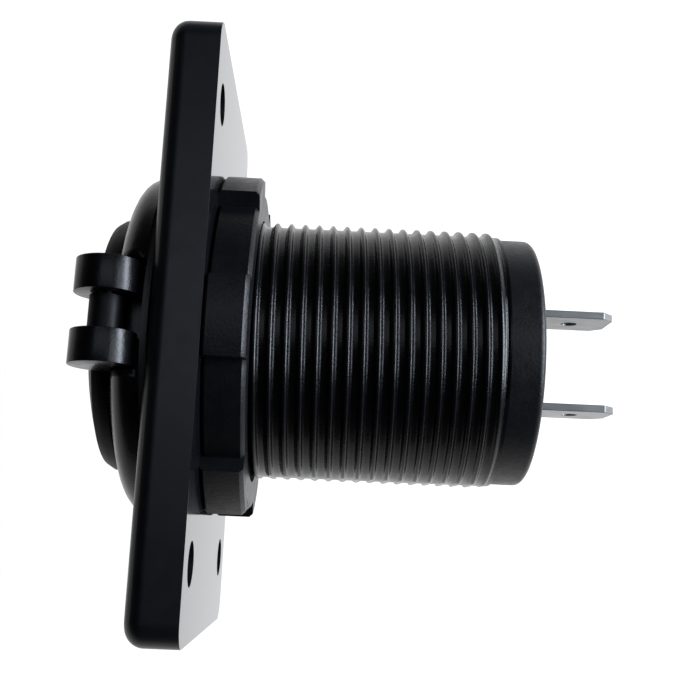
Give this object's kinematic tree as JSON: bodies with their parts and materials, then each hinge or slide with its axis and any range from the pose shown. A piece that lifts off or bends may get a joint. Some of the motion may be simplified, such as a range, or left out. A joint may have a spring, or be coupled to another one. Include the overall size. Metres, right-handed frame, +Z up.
{
  "type": "dual usb car socket",
  "caption": "Panel-mount charging socket: plate, threaded barrel with ring nut, hinged dust cap over the ports and flat blade terminals behind.",
  "frame": {"origin": "on the barrel's axis, in the back face of the mounting plate", "axes": "+Y along the barrel to the rear, where the blades are; +X along the plate's length; +Z up to the side with the cap's hinge"},
  "size_m": [0.0596, 0.0558, 0.038],
  "materials": {
    "plate_plastic": "satin moulded black, slightly blue-grey where light grazes it",
    "barrel_plastic": "semi-gloss moulded black",
    "nut_plastic": "finely grained black",
    "collar_plastic": "finely grained black",
    "cap_plastic": "satin moulded black",
    "soft_rubber": "soft black rubber",
    "port_plastic": "fine matt black",
    "clear_plastic": "clear moulded plastic",
    "plated_steel": "plated sheet, softly brushed",
    "pin_steel": "drawn steel",
    "white_insulator": "white moulded plastic",
    "plated_brass": "gold-coloured plating",
    "board_laminate": "green lacquered laminate",
    "ferrite": "dark grey ferrite",
    "can_sleeve": "dark blue sleeve",
    "can_metal": "plain drawn can",
    "chip_resin": "black moulded resin",
    "lamp_resin": "milky lens"
  },
  "bodies": {
    "housing": {"mounting_plate": "plate_plastic", "threaded_barrel": "barrel_plastic", "flange_gasket": "soft_rubber", "ring_nut": "nut_plastic", "port_face": "port_plastic", "light_pipe": "clear_plastic", "upper_port_shell": "plated_steel", "lower_port_shell": "plated_steel", "upper_port_insulator": "white_insulator", "lower_port_insulator": "white_insulator", "upper_port_contacts": "plated_brass", "lower_port_contacts": "plated_brass", "circuit_board": "board_laminate", "power_inductors": "ferrite", "input_capacitor": "can_sleeve", "output_capacitors": "can_metal", "regulator_chips": "chip_resin", "rectifier_diodes": "chip_resin", "indicator_light": "lamp_resin", "rear_cap": "collar_plastic", "positive_blade": "plated_steel", "negative_blade": "plated_steel", "hinge_pin": "pin_steel"},
    "cap": {"dust_cap": "cap_plastic", "cap_seal": "soft_rubber"}
  },
  "joints": [
    {"name": "cap_hinge", "type": "hinge", "parent": "housing", "child": "cap", "pos_m": [0, -0.0092, 0.0162], "axis": [-1, 0, 0], "range_deg": [0, 120]}
  ]
}
